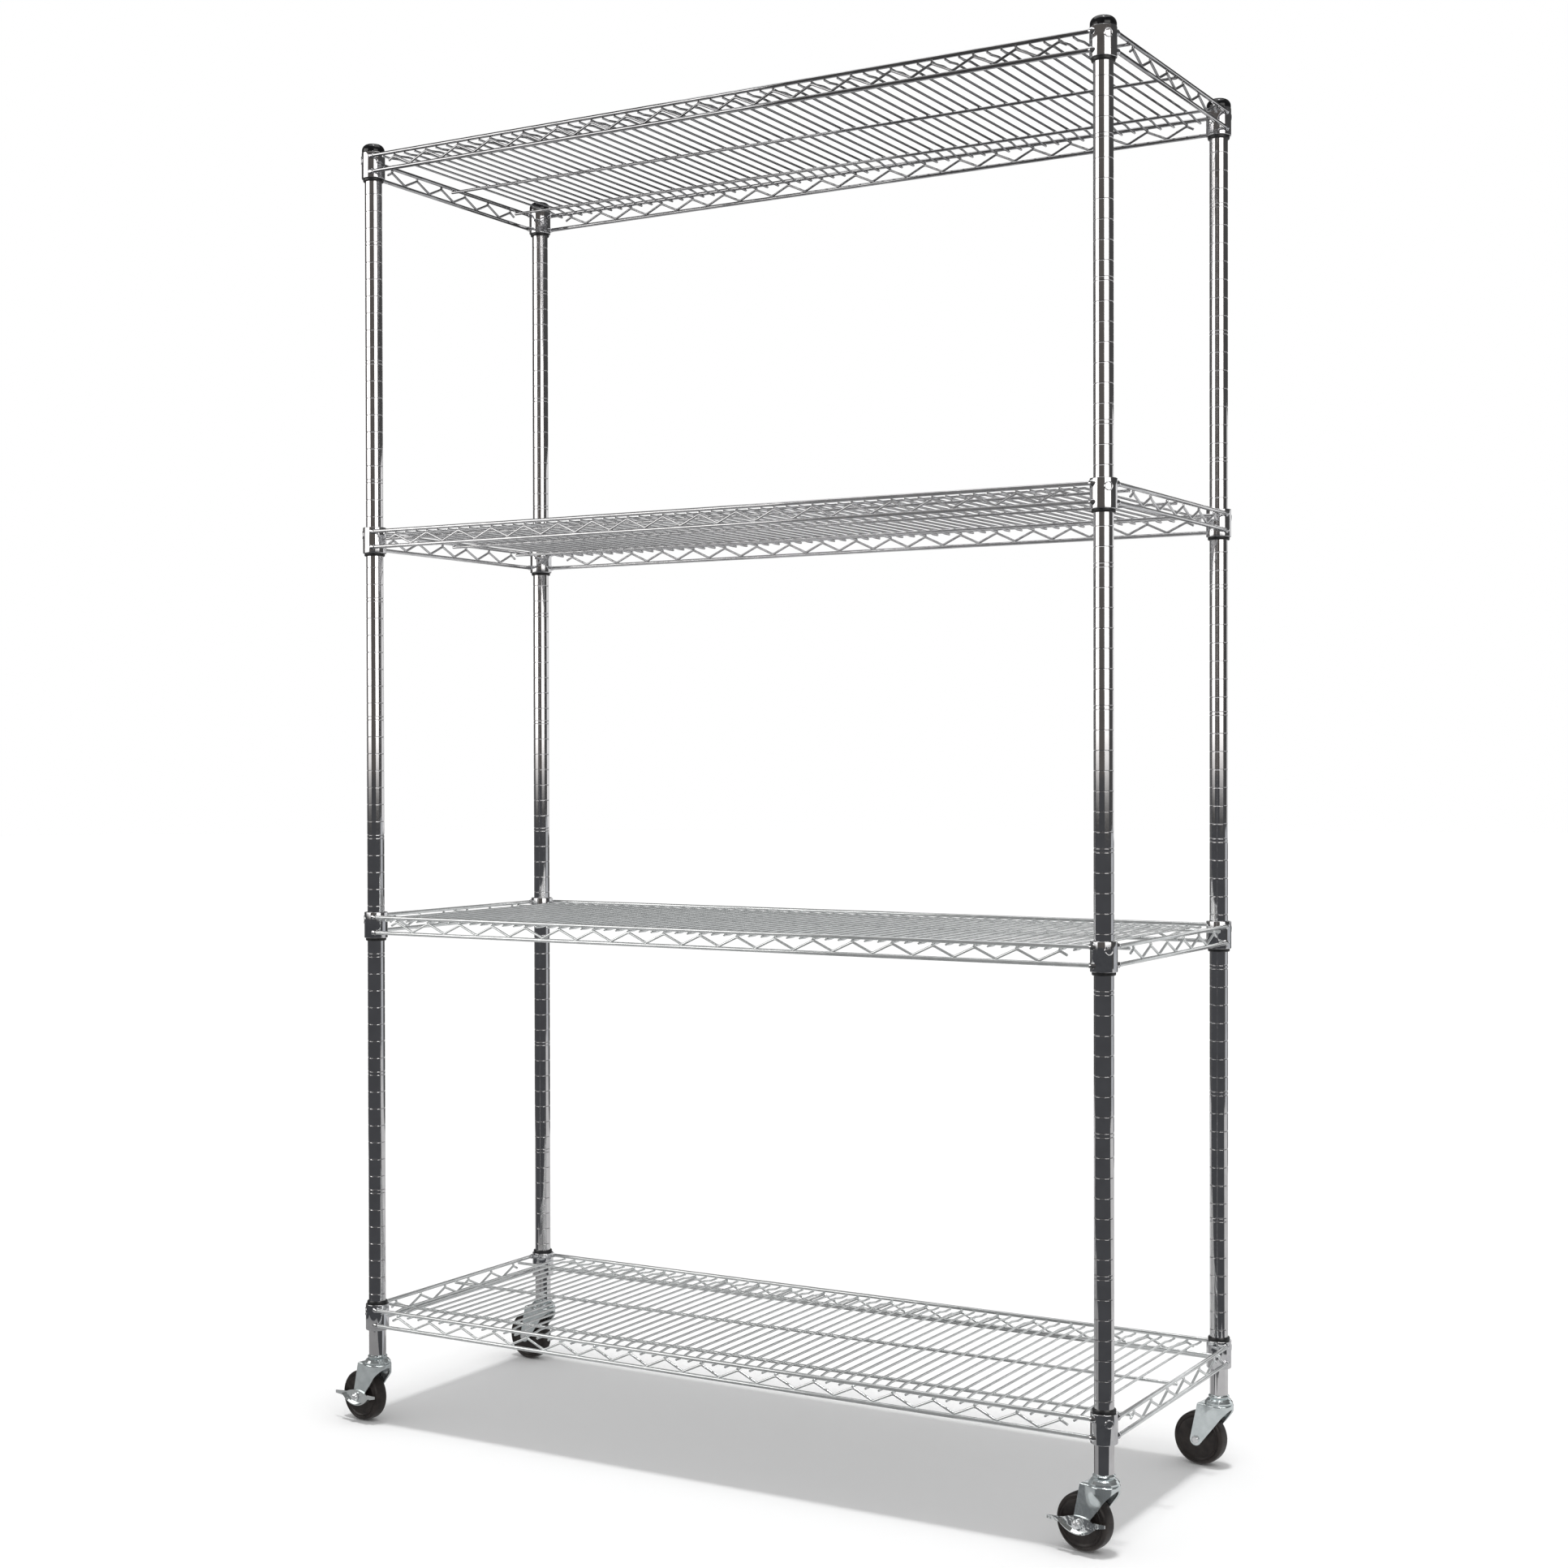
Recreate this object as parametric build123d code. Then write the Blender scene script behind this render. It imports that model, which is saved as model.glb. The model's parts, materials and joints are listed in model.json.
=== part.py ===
from build123d import *
from build123d.topology import SkipClean
import os
from math import cos, radians, sin, sqrt

# Four-tier wire shelving rack on four swivel casters.
# Millimetres. +Z is up, X runs along the long side, -Y is the front.
# The origin is on the floor, at the centre of the four posts. A caster is drawn on its own
# and then turned, so that local +Y is its near side when it stands under a post.

# ---- posts ----
POST_SPACING_X = 1175.0
POST_SPACING_Y = 420.0
POST_R = 12.7
POST_WALL = 1.2
POST_BOTTOM_Z = 103.0
POST_TOP_Z = 1912.0
GROOVE_PITCH = 25.4
GROOVE_WIDTH = 1.6
GROOVE_DEPTH = 0.4
LOWEST_GROOVE_Z = 144.7
GROOVE_COUNT = 70
MARK_EVERY = 7
MARK_FIRST = 8
MARK_GAP = 5.0
CAP_TOP_Z = 1922.5
CAP_R = 16.9
CAP_SHOULDER = 9.5
CAP_SKIRT_Z = 1909.6

# ---- shelves ----
SHELF_Z = {"bottom": 141.0, "lower": 731.5, "upper": 1309.3, "top": 1870.5}
COLLAR_R = 17.3
COLLAR_HEIGHT = 38.8
BADGE_R = 6.0
BADGE_RIM = 1.2
BADGE_Z = 27.5
BADGE_PROUD = 0.9
SLEEVE_R_TOP = 13.9
SLEEVE_R_BOTTOM = 14.9
SLEEVE_LIP_R = 15.2
SLEEVE_LIP_BELOW = 4.2
SLEEVE_LIP_ABOVE = 4.7
SLEEVE_CLEARANCE = 0.1
SLEEVE_ARC = 176.0
FRAME_WIRE_R = 2.8
ZIGZAG_R = 1.75
DECK_WIRE_R = 1.6
STRINGER_R = 2.2
FRAME_OFFSET = 15.0
TOP_WIRE_Z = 31.8
BOTTOM_WIRE_Z = 8.6
ZIGZAG_UNDER_TOP = 6.5
ZIGZAG_OVER_BOTTOM = 3.1
WELD_BITE = 0.3
TRUSS_PITCH = 59.4
LONG_BAYS = 18
SHORT_BAYS = 5
DECK_WIRES_PER_BAY = 3
DECK_END_DIP = 4.4
STRINGER_Y = (-166.0, 0.0, 166.0)
TAIL_RUN = 10.5
TAIL_DROP = 5.5

# ---- casters ----
WHEEL_R = 37.5
WHEEL_WIDTH = 24.0
TRAIL = 28.0
AXLE_R = 4.0
BUSHING_R = 6.0
LEG_INNER = 14.0
SHEET = 2.5
FOOT_R = 8.6
CROWN_R = 20.5
CROWN_Z = 90.0
SKIRT_Z = 84.0
LIP_REACH = 24.0
STEM_R = 5.0
CUP_R = 19.5
BALL_R = 2.0
BALL_RING_R = 14.0
BALL_COUNT = 14
RUNNING_CLEARANCE = 0.05
GAP = 0.3

# Each post's place, and how far its caster is turned away from trailing along -X.
CORNERS = {
    "front_left": (-1, -1, 8.0),
    "front_right": (1, -1, 10.0),
    "back_left": (-1, 1, 8.0),
    "back_right": (1, 1, 7.0),
}
BRAKED = ("front_left", "front_right")

FRAME_X = POST_SPACING_X / 2 + FRAME_OFFSET
FRAME_Y = POST_SPACING_Y / 2 + FRAME_OFFSET


def corner_xy(corner):
    side_x, side_y, _ = CORNERS[corner]
    return side_x * POST_SPACING_X / 2, side_y * POST_SPACING_Y / 2


def turned(points):
    """A solid of revolution about Z from (radius, height) points."""
    outline = Polyline(*[(r, 0, z) for r, z in points], close=True)
    return revolve(make_face(outline), Axis.Z, 360)


def rod(start, end, radius):
    """A round bar from one point to another."""
    axis = Vector(*end) - Vector(*start)
    return Plane(start, z_dir=axis) * extrude(Circle(radius), axis.length)


def bent_wire(points, radius, bend_radius):
    """A round wire along straight runs joined by tangent arcs."""
    path = FilletPolyline(*points, radius=bend_radius)
    return sweep(Plane(path @ 0, z_dir=path % 0) * Circle(radius), path=path)


# ---- posts, caps and inserts ----


def groove_heights():
    """Every numbered groove, and the second line that marks every seventh one."""
    heights = []
    for i in range(GROOVE_COUNT):
        z = LOWEST_GROOVE_Z + i * GROOVE_PITCH
        heights.append(z)
        if i >= MARK_FIRST and (i - MARK_FIRST) % MARK_EVERY == 0:
            heights.append(z + MARK_GAP)
    return [z for z in sorted(heights) if z < POST_TOP_Z - GROOVE_WIDTH]


def make_post():
    """A steel tube with shallow grooves all round at one pitch."""
    inner = POST_R - POST_WALL
    outline = [(inner, POST_BOTTOM_Z), (POST_R, POST_BOTTOM_Z)]
    for z in groove_heights():
        low, high = z - GROOVE_WIDTH / 2, z + GROOVE_WIDTH / 2
        floor = POST_R - GROOVE_DEPTH
        outline += [(POST_R, low), (floor, low), (floor, high), (POST_R, high)]
    outline += [(POST_R, POST_TOP_Z), (inner, POST_TOP_Z)]
    return turned(outline)


def make_cap():
    """A domed plug: a stub in the tube, a short skirt round it and a rounded top."""
    stub = POST_R - POST_WALL - SLEEVE_CLEARANCE
    inner = POST_R + SLEEVE_CLEARANCE
    flat = CAP_R - CAP_SHOULDER
    base = CAP_TOP_Z - CAP_SHOULDER
    outline = [(0, POST_TOP_Z - 14), (stub, POST_TOP_Z - 14), (stub, POST_TOP_Z), (inner, POST_TOP_Z)]
    outline += [(inner, CAP_SKIRT_Z), (CAP_R - 0.3, CAP_SKIRT_Z), (CAP_R, CAP_SKIRT_Z + 0.5)]
    for angle in range(0, 91, 9):
        a = radians(angle)
        outline.append((flat + CAP_SHOULDER * cos(a), base + CAP_SHOULDER * sin(a)))
    return turned(outline + [(0, CAP_TOP_Z)])


def make_insert():
    """The threaded plug pressed into the foot of a post, which the caster's stem screws into."""
    outer = POST_R - POST_WALL - SLEEVE_CLEARANCE
    bore = STEM_R + RUNNING_CLEARANCE
    top = POST_BOTTOM_Z + 30
    return turned([(bore, POST_BOTTOM_Z), (outer, POST_BOTTOM_Z), (outer, top), (bore, top)])


# ---- shelf parts, drawn with the collars' lower rim at Z 0 ----


def at_corners(solid):
    return [Pos(*corner_xy(c), 0) * solid for c in CORNERS]


def make_badge(corner):
    """A plain raised ring on the outward face of a collar."""
    side_x, side_y, _ = CORNERS[corner]
    out = Vector(side_x, side_y, 0).normalized()
    face = Plane(out * (COLLAR_R - 2.0) + Vector(0, 0, BADGE_Z), z_dir=out)
    ring = extrude(Circle(BADGE_R) - Circle(BADGE_R - BADGE_RIM), 2.0 + BADGE_PROUD)
    dot = extrude(Circle(BADGE_R), 2.0 + BADGE_PROUD / 3)
    return Pos(*corner_xy(corner), 0) * (face * (ring + dot))


def make_collars():
    """Four tapered-bore collars that wedge on the sleeves."""
    bore_top = SLEEVE_R_TOP + SLEEVE_CLEARANCE
    bore_bottom = SLEEVE_R_BOTTOM + SLEEVE_CLEARANCE
    outline = [(bore_bottom, 0), (COLLAR_R - 0.8, 0), (COLLAR_R, 0.8), (COLLAR_R, COLLAR_HEIGHT - 0.8)]
    outline += [(COLLAR_R - 0.8, COLLAR_HEIGHT), (bore_top, COLLAR_HEIGHT)]
    collar = turned(outline)
    return [Pos(*corner_xy(c), 0) * collar + make_badge(c) for c in CORNERS]


def make_sleeves(shelf_z, lip_on_top):
    """Eight plastic half sleeves whose inner ridges sit in one groove of each post."""
    steps = round((shelf_z + COLLAR_HEIGHT / 2 - LOWEST_GROOVE_Z) / GROOVE_PITCH)
    ridge_z = LOWEST_GROOVE_Z + steps * GROOVE_PITCH - shelf_z
    inner = POST_R + SLEEVE_CLEARANCE / 2
    ridge_r = POST_R - GROOVE_DEPTH + SLEEVE_CLEARANCE
    low, high = 0.0, COLLAR_HEIGHT
    outline = [(inner, ridge_z - 0.6), (ridge_r, ridge_z - 0.5)]
    outline += [(ridge_r, ridge_z + 0.5), (inner, ridge_z + 0.6)]
    if lip_on_top:
        rim = high + SLEEVE_LIP_ABOVE
        outline += [(inner, rim), (SLEEVE_LIP_R - 0.6, rim)]
        outline += [(SLEEVE_LIP_R, high + 0.2), (SLEEVE_R_TOP, high + 0.2)]
        outline += [(SLEEVE_R_BOTTOM, low), (inner, low)]
    else:
        outline += [(inner, high - 2), (SLEEVE_R_TOP, high - 2), (SLEEVE_R_BOTTOM, low - 0.2)]
        rim = low - SLEEVE_LIP_BELOW
        outline += [(SLEEVE_LIP_R, low - 0.2), (SLEEVE_LIP_R - 0.6, rim), (inner, rim)]
    profile = make_face(Polyline(*[(r, 0, z) for r, z in outline], close=True))
    step = SLEEVE_ARC / 3
    third = Rot(0, 0, (180 - SLEEVE_ARC) / 2) * revolve(profile, Axis.Z, step)
    with SkipClean():
        half = third + Rot(0, 0, step) * third + Rot(0, 0, 2 * step) * third
    return at_corners(half) + at_corners(Rot(0, 0, 180) * half)


def make_truss(bays, reach):
    """One side of a shelf, along X: two straight wires and the bent wire between them."""
    vertex_top = TOP_WIRE_Z - ZIGZAG_UNDER_TOP
    vertex_bottom = BOTTOM_WIRE_Z + ZIGZAG_OVER_BOTTOM
    start = -bays * TRUSS_PITCH / 2
    route = [(start - TAIL_RUN, 0, vertex_top - TAIL_DROP), (start, 0, vertex_top)]
    for i in range(bays):
        route.append((start + (i + 0.5) * TRUSS_PITCH, 0, vertex_bottom))
        route.append((start + (i + 1) * TRUSS_PITCH, 0, vertex_top))
    route.append((-start + TAIL_RUN, 0, vertex_top - TAIL_DROP))
    zigzag = bent_wire(route, ZIGZAG_R, 6.0)
    nugget_z = (vertex_top + TOP_WIRE_Z) / 2
    nugget = Pos(start, 0, nugget_z) * Sphere(DECK_WIRE_R + 1.0)
    nuggets = [Pos(i * TRUSS_PITCH, 0, 0) * nugget for i in range(bays + 1)]
    top = rod((-reach, 0, TOP_WIRE_Z), (reach, 0, TOP_WIRE_Z), FRAME_WIRE_R)
    bottom = rod((-reach, 0, BOTTOM_WIRE_Z), (reach, 0, BOTTOM_WIRE_Z), FRAME_WIRE_R)
    return top + bottom + zigzag + nuggets


def make_trusses():
    """The four welded sides of a shelf. Each ends in the walls of the two collars that it joins."""
    inner_edge = FRAME_OFFSET - FRAME_WIRE_R
    wall = SLEEVE_R_BOTTOM + 2 * SLEEVE_CLEARANCE
    end_gap = sqrt(wall**2 - inner_edge**2)
    long_side = make_truss(LONG_BAYS, POST_SPACING_X / 2 - end_gap)
    short_side = Rot(0, 0, 90) * make_truss(SHORT_BAYS, POST_SPACING_Y / 2 - end_gap)
    return [
        Pos(0, -FRAME_Y, 0) * long_side,
        Pos(0, FRAME_Y, 0) * long_side,
        Pos(-FRAME_X, 0, 0) * short_side,
        Pos(FRAME_X, 0, 0) * short_side,
    ]


def make_deck():
    """Wires from front to back on three stringers. Their ends dip under the frame wires."""
    stringer_z = TOP_WIRE_Z - FRAME_WIRE_R - STRINGER_R
    wire_z = stringer_z + STRINGER_R + DECK_WIRE_R - WELD_BITE
    end_z = TOP_WIRE_Z - DECK_END_DIP
    tip = FRAME_Y + FRAME_WIRE_R
    route = [(0, -tip, end_z), (0, -tip + 16, end_z), (0, -tip + 36, wire_z)]
    route += [(x, -y, z) for x, y, z in reversed(route)]
    wire = bent_wire(route, DECK_WIRE_R, 12.0)
    pitch = TRUSS_PITCH / DECK_WIRES_PER_BAY
    last = LONG_BAYS * DECK_WIRES_PER_BAY // 2 + 1
    wires = [Pos(i * pitch, 0, 0) * wire for i in range(-last, last + 1)]
    reach = FRAME_X + FRAME_WIRE_R
    stringers = [rod((-reach, y, stringer_z), (reach, y, stringer_z), STRINGER_R) for y in STRINGER_Y]
    return Part() + stringers + wires


# ---- caster parts, drawn with the swivel axis on Z and the wheel trailing along +X ----


def make_stem():
    """The threaded stem, with its neck against the post and a peened head under the crown."""
    head_top = CROWN_Z - SHEET - GAP
    outline = [(0, head_top - 3), (8.5, head_top - 3), (8.5, head_top), (STEM_R, head_top)]
    outline += [(STEM_R, 98.5), (12.0, 98.5), (14.5, 99.5), (14.5, 101)]
    outline += [(12.0, POST_BOTTOM_Z), (STEM_R, POST_BOTTOM_Z)]
    return turned(outline + [(STEM_R, POST_BOTTOM_Z + 28), (0, POST_BOTTOM_Z + 28)])


def make_cup():
    """The domed upper race that covers the balls."""
    rim = CROWN_Z + GAP
    outer = [(CUP_R, rim), (CUP_R, rim + 2.2), (CUP_R - 2.5, rim + 5.4), (13.0, 98.5)]
    inner = [(STEM_R, 98.5), (STEM_R, 96.6), (12.0, 96.6), (CUP_R - 3.2, rim + 3.4)]
    inner += [(CUP_R - 1.6, rim + 1.4), (CUP_R - 1.6, rim)]
    return turned(outer + inner)


def make_balls():
    """One ring of bearing balls, lying on the crown."""
    ball = Sphere(BALL_R)
    z = CROWN_Z + BALL_R + 0.02
    return [Rot(0, 0, 360 * i / BALL_COUNT) * Pos(BALL_RING_R, 0, z) * ball for i in range(BALL_COUNT)]


def make_fork():
    """The stamped fork: a crown plate with a skirt, and two tapering legs."""
    outer = LEG_INNER + SHEET
    top = CROWN_Z - SHEET
    plate = Pos(0, 0, top) * extrude(Circle(CROWN_R), SHEET)
    plate += Pos(LIP_REACH / 2, 0, CROWN_Z - SHEET / 2) * Box(LIP_REACH, 2 * outer, SHEET)
    skirt = Pos(0, 0, SKIRT_Z) * extrude(Circle(CROWN_R) - Circle(CROWN_R - SHEET), CROWN_Z - SKIRT_Z)
    skirt -= Pos(CROWN_R, 0, SKIRT_Z) * Box(2 * CROWN_R, 2 * LEG_INNER, 2 * CROWN_Z)
    shoulder = -sqrt(CROWN_R**2 - outer**2)
    side_view = Plane.XZ
    corners = [(shoulder, CROWN_Z), (LIP_REACH, CROWN_Z), (LIP_REACH, CROWN_Z - 1), (shoulder, SKIRT_Z)]
    top_edge = Polyline(*corners, close=True)
    foot = Pos(TRAIL, WHEEL_R) * CenterArc((0, 0), FOOT_R, 0, 360)
    leg = side_view * make_hull(top_edge.edges() + foot.edges())
    legs = [Pos(0, outer, 0) * extrude(leg, SHEET), Pos(0, -LEG_INNER, 0) * extrude(leg, SHEET)]
    bolt_hole = rod((TRAIL, -outer - 1, WHEEL_R), (TRAIL, outer + 1, WHEEL_R), AXLE_R + RUNNING_CLEARANCE)
    stem_hole = Pos(0, 0, top - 1) * extrude(Circle(STEM_R + RUNNING_CLEARANCE), SHEET + 2)
    return plate + skirt + legs - bolt_hole - stem_hole


def about_axle(outline):
    """A solid of revolution about the axle, from (radius, distance to the far side) points."""
    return Pos(TRAIL, 0, WHEEL_R) * Rot(90, 0, 0) * turned(outline)


def make_axle(braked):
    """The axle bolt. Its head is on the far side where a brake lever takes the near side."""
    near = -(LEG_INNER + SHEET)
    far = LEG_INNER + SHEET
    if braked:
        reach = near - 7
        outline = [(0, reach), (AXLE_R, reach), (AXLE_R, far)]
        outline += [(5.4, far), (5.4, far + 2), (3.6, far + 3.4), (0, far + 3.4)]
    else:
        outline = [(0, near - 3.4), (3.6, near - 3.4), (5.4, near - 2), (5.4, near)]
        outline += [(AXLE_R, near), (AXLE_R, far + 6), (0, far + 6)]
    return about_axle(outline)


def make_nut(braked):
    """A domed nut outside the lever, or a plain hexagon nut on the far side."""
    bore = AXLE_R + RUNNING_CLEARANCE
    if braked:
        y = -(LEG_INNER + SHEET) - 2.4
        shell = [(bore, y), (5.8, y), (5.8, y - 3), (4.8, y - 5.2), (2.8, y - 6.6)]
        shell += [(0, y - 7.2), (0, y - 5), (bore, y - 5)]
        return about_axle(shell)
    start = LEG_INNER + SHEET
    nut = extrude(RegularPolygon(6.2, 6) - Circle(bore), 4.5)
    return Pos(TRAIL, -start, WHEEL_R) * Rot(90, 0, 0) * nut


def make_wheel():
    """A solid rubber wheel with rounded shoulders, a ring groove in each face and a raised hub."""
    half = WHEEL_WIDTH / 2
    shoulder = [(WHEEL_R - 3, half), (WHEEL_R - 0.9, half - 0.9), (WHEEL_R, half - 3)]
    face = [(BUSHING_R, half), (11, half), (13, half - 2), (27.5, half - 2)]
    face += [(29, half - 0.5), (30.5, half - 0.5), (31, half - 1.5), (32, half - 1.5), (32.5, half)]
    far_side = face + shoulder
    near_side = [(r, -y) for r, y in reversed(far_side)]
    return about_axle(far_side + near_side)


def make_bushing():
    """The nylon sleeve pressed into the wheel, which runs on the axle."""
    reach = LEG_INNER - GAP
    bore = AXLE_R + RUNNING_CLEARANCE
    return about_axle([(bore, -reach), (BUSHING_R, -reach), (BUSHING_R, reach), (bore, reach)])


def make_brake_lever():
    """The stamped side lever: a lens-shaped plate round the axle, a flared lower lip and two toe tabs."""
    inner = LEG_INNER + SHEET + GAP
    thick = 1.6
    upper = ThreePointArc((-30, 1), (-2, 10), (27, 2))
    lower = ThreePointArc((27, 2), (0, -12), (-30, 1))
    lens = make_face([upper, lower])
    tongue = make_face(Polyline((22, 5), (46, 2.5), (46, -1.5), (22, -3), close=True))
    tab = make_face(Polyline((-24, 6), (-40, 6), (-40, 2), (-24, -2), close=True))
    plate = extrude(Plane.XZ * (lens + tongue + tab), -thick)
    rim = make_face([lower, ThreePointArc((-30, 1), (0, -10.4), (27, 2))])
    lip = extrude(Plane.XZ * rim, -6.0)
    hole = rod((0, -5, 0), (0, 20, 0), AXLE_R + RUNNING_CLEARANCE)
    return Pos(TRAIL, inner, WHEEL_R) * (plate + lip - hole)


def place_caster(corner, solid):
    """Turns a caster part so that the wheel trails along -X, and sets it under its post."""
    heading = CORNERS[corner][2]
    return Pos(*corner_xy(corner), 0) * Rot(0, 0, 180 - heading) * solid


# ---- writing the parts ----


def write(node, *solids):
    found = [s for item in solids for s in (item.solids() if hasattr(item, "solids") else item)]
    for s in found:
        s.label = node
    shape = found[0] if len(found) == 1 else Compound(children=found)
    shape.label = node
    export_step(shape, f"parts/{node}.step")


def main():
    os.makedirs("parts", exist_ok=True)
    post, cap, insert = make_post(), make_cap(), make_insert()
    for corner in CORNERS:
        spot = Pos(*corner_xy(corner), 0)
        write(f"post_{corner}", spot * post)
        write(f"post_cap_{corner}", spot * cap)
    write("stem_inserts", at_corners(insert))

    collars, trusses, deck = make_collars(), make_trusses(), make_deck()
    for shelf, z in SHELF_Z.items():
        up = Pos(0, 0, z)
        write(f"shelf_{shelf}_collars", [up * s for s in collars])
        write(f"shelf_{shelf}_frame", [up * s.solid() for s in trusses])
        write(f"shelf_{shelf}_deck", up * deck)
        write(f"shelf_{shelf}_sleeves", [up * s for s in make_sleeves(z, shelf == "bottom")])

    stem, cup, fork = make_stem(), make_cup(), make_fork()
    wheel, bushing, lever = make_wheel(), make_bushing(), make_brake_lever()
    for corner in CORNERS:
        braked = corner in BRAKED
        write(f"caster_stem_{corner}", place_caster(corner, stem))
        write(f"race_cup_{corner}", place_caster(corner, cup))
        write(f"fork_{corner}", place_caster(corner, fork))
        write(f"axle_bolt_{corner}", place_caster(corner, make_axle(braked)))
        write(f"axle_nut_{corner}", place_caster(corner, make_nut(braked)))
        write(f"wheel_{corner}", place_caster(corner, wheel))
        write(f"wheel_bushing_{corner}", place_caster(corner, bushing))
        if braked:
            write(f"brake_lever_{corner}", place_caster(corner, lever))
    write("race_balls", [place_caster(c, ball) for c in CORNERS for ball in make_balls()])


main()
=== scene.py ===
import json
from math import atan2, cos, degrees, pi, radians, sin, sqrt

import bpy
from mathutils import Matrix, Vector


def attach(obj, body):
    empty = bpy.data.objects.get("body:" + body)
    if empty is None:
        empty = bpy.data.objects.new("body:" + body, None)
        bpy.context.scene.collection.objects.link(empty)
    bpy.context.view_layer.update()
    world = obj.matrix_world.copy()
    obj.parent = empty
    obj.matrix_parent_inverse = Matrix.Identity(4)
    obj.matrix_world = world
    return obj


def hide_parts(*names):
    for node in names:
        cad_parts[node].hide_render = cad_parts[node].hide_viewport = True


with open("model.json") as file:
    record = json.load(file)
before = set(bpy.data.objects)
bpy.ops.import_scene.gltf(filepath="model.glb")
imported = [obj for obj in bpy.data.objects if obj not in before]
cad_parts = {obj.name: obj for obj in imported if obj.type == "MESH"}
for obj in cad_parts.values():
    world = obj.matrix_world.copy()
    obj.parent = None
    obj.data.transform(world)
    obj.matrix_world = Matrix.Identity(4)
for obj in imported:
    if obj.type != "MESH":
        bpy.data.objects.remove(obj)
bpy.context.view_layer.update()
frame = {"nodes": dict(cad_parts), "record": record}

# Lengths are millimetres down to the studio section, and metres from there on.
MM = 0.001
# Side in x, side in y, and how many degrees the caster stands short of trailing straight left.
CORNERS = {
    "front_left": (-1, -1, 8.0),
    "front_right": (1, -1, 10.0),
    "back_left": (-1, 1, 8.0),
    "back_right": (1, 1, 7.0),
}
POST_X, POST_Y = 587.5, 210.0
# Height of the lower edge of each shelf's collars.
SHELVES = {"bottom": 141.0, "lower": 731.5, "upper": 1309.3, "top": 1870.5}
COLLAR_R, COLLAR_H = 17.3, 38.8
# The shelf sides' lines, their wires' heights over the collar's lower edge, and one zigzag bay.
FRAME_X, FRAME_Y = POST_X + 15.0, POST_Y + 15.0
TOP_WIRE, BOTTOM_WIRE = 31.8, 8.6
BAY = 59.4

# ---------------------------------------------------------------- mesh tools

BAR_END = 0.35  # rounding at a bar's ends, as a share of its radius
SHARP = 38  # edges over this angle stay sharp, in degrees


class Geo:
    """Collects points and faces in millimetres, then makes one mesh object."""

    def __init__(self):
        self.points, self.faces = [], []

    def add(self, points, faces, place=None):
        base = len(self.points)
        if place is not None:
            points = [place @ Vector(p) for p in points]
        self.points += [tuple(p) for p in points]
        self.faces += [tuple(base + i for i in f) for f in faces]

    def lathe(self, outline, place=None, *, sides, start=0.0, sweep=360.0, close=False):
        """Turns (radius, height) points about Z. A partial sweep gets flat ends."""
        full = sweep >= 360.0
        steps = sides if full else int(sides * sweep / 360)
        count = steps if full else steps + 1
        points, faces, n = [], [], len(outline)
        for i in range(count):
            a = radians(start + sweep * i / steps)
            points += [(r * cos(a), r * sin(a), z) for r, z in outline]
        for i in range(steps):
            here, there = i * n, ((i + 1) % count) * n
            for j in range(n if close else n - 1):
                k = (j + 1) % n
                faces.append((here + j, there + j, there + k, here + k))
        if not full:
            faces.append(tuple(range(n)))
            faces.append(tuple(reversed(range((count - 1) * n, count * n))))
        self.add(points, faces, place)

    def tube(self, path, radius, sides, place):
        """A round bar along a path, with slightly rounded ends."""
        path = [Vector(p) for p in path]
        first = (path[1] - path[0]).normalized()
        last = (path[-1] - path[-2]).normalized()
        c = BAR_END * radius
        rings = [(path[0], first, radius - c), (path[0] + first * c * 0.3, first, radius - 0.3 * c)]
        rings.append((path[0] + first * c, first, radius))
        for before, p, after in zip(path, path[1:], path[2:]):
            d = (after - p).normalized() + (p - before).normalized()
            rings.append((p, d.normalized(), radius))
        rings.append((path[-1] - last * c, last, radius))
        rings += [(path[-1] - last * c * 0.3, last, radius - 0.3 * c), (path[-1], last, radius - c)]
        up = Vector((0, 0, 1)) if abs(first.z) < 0.9 else Vector((1, 0, 0))
        points, faces = [], []
        for p, d, r in rings:
            side = d.cross(up).normalized()
            up = side.cross(d).normalized()
            for i in range(sides):
                a = 2 * pi * i / sides
                points.append(p + (side * cos(a) + up * sin(a)) * r)
        for i in range(len(rings) - 1):
            a, b = i * sides, (i + 1) * sides
            for j in range(sides):
                k = (j + 1) % sides
                faces.append((a + j, a + k, b + k, b + j))
        faces.append(tuple(reversed(range(sides))))
        faces.append(tuple(range((len(rings) - 1) * sides, len(rings) * sides)))
        self.add(points, faces, place)

    def make(self, name, material, body, replaced, slot, sharp=SHARP):
        """The object, riding on its body in place of one CAD node."""
        mesh = bpy.data.meshes.new(name)
        mesh.from_pydata([(x * MM, y * MM, z * MM) for x, y, z in self.points], [], self.faces)
        mesh.validate()
        mesh.shade_smooth()
        mesh.set_sharp_from_angle(angle=radians(sharp))
        mesh.materials.append(material)
        obj = bpy.data.objects.new(name, mesh)
        bpy.context.scene.collection.objects.link(obj)
        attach(obj, body)
        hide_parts(replaced)
        return obj


def rounded(points, radius, steps):
    """A polyline with its inner corners rounded by arcs."""
    points = [Vector(p) for p in points]
    out = [points[0]]
    for a, b, c in zip(points, points[1:], points[2:]):
        u, v = (a - b).normalized(), (c - b).normalized()
        half = u.angle(v) / 2
        reach = radius / sin(half) * cos(half)
        centre = b + (u + v).normalized() * (radius / sin(half))
        start, end = (b + u * reach - centre).normalized(), (b + v * reach - centre).normalized()
        for k in range(steps + 1):
            out.append(centre + start.slerp(end, k / steps).normalized() * radius)
    out.append(points[-1])
    return out


def shift(x=0.0, y=0.0, z=0.0):
    return Matrix.Translation((x, y, z))


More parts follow.
